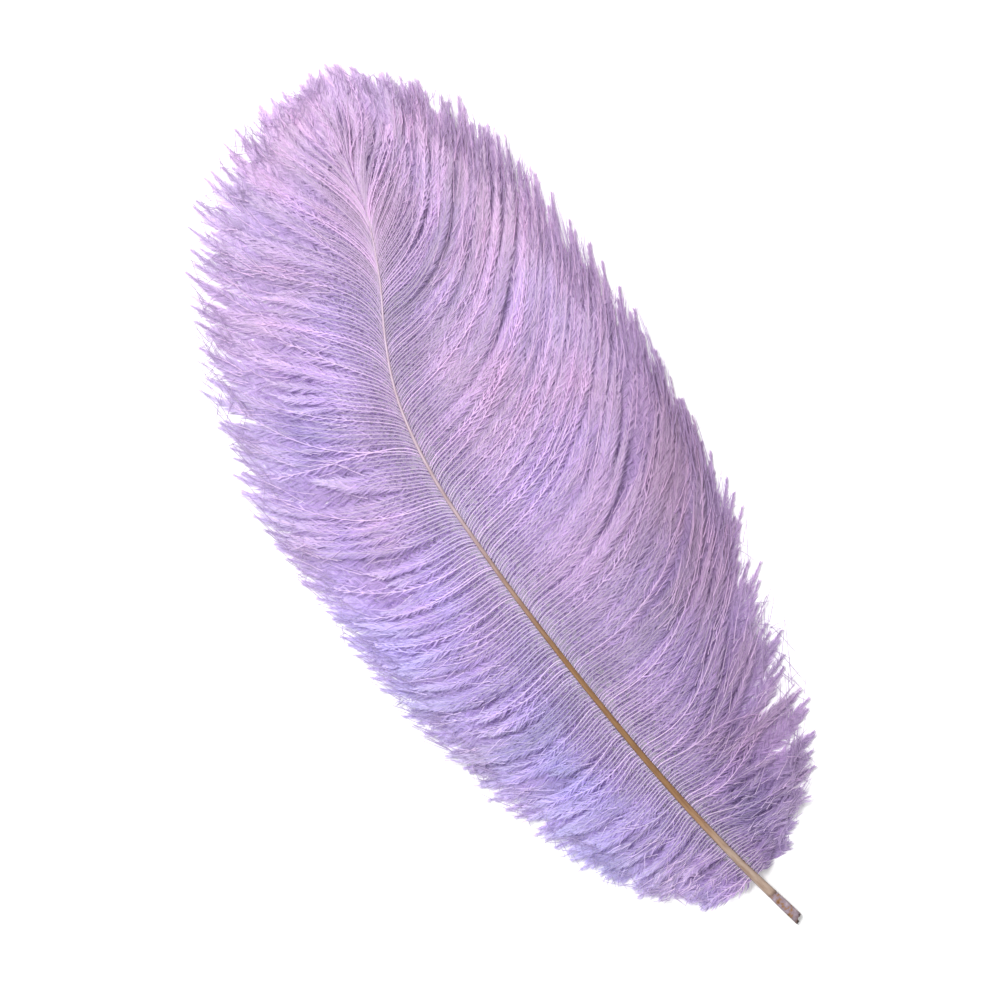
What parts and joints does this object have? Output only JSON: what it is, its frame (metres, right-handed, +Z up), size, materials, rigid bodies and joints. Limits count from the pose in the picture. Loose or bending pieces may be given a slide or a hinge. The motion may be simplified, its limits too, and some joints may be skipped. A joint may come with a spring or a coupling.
{
  "type": "ostrich feather",
  "caption": "Dyed ostrich plume with a bowed shaft, a cut hollow quill end and a wide soft vane on each side, lying flat for decoration or costume work.",
  "frame": {"origin": "centre of the plume's box, on the surface that it lies on", "axes": "+Y from the cut quill end towards the tip, +X to the right seen from above, +Z up out of the upper side"},
  "size_m": [0.1645, 0.3749, 0.0176],
  "materials": {
    "quill_horn": "feather keratin, golden brown and satin along the shaft, beige to mottled grey-brown at the split quill end",
    "dyed_barbs": "soft feather barbs dyed lavender, matt with a faint sheen, bluer at the lower left edge and pinker near the tip"
  },
  "bodies": {
    "root": {"shaft": "quill_horn", "left_vane": "dyed_barbs", "right_vane": "dyed_barbs"}
  },
  "joints": []
}
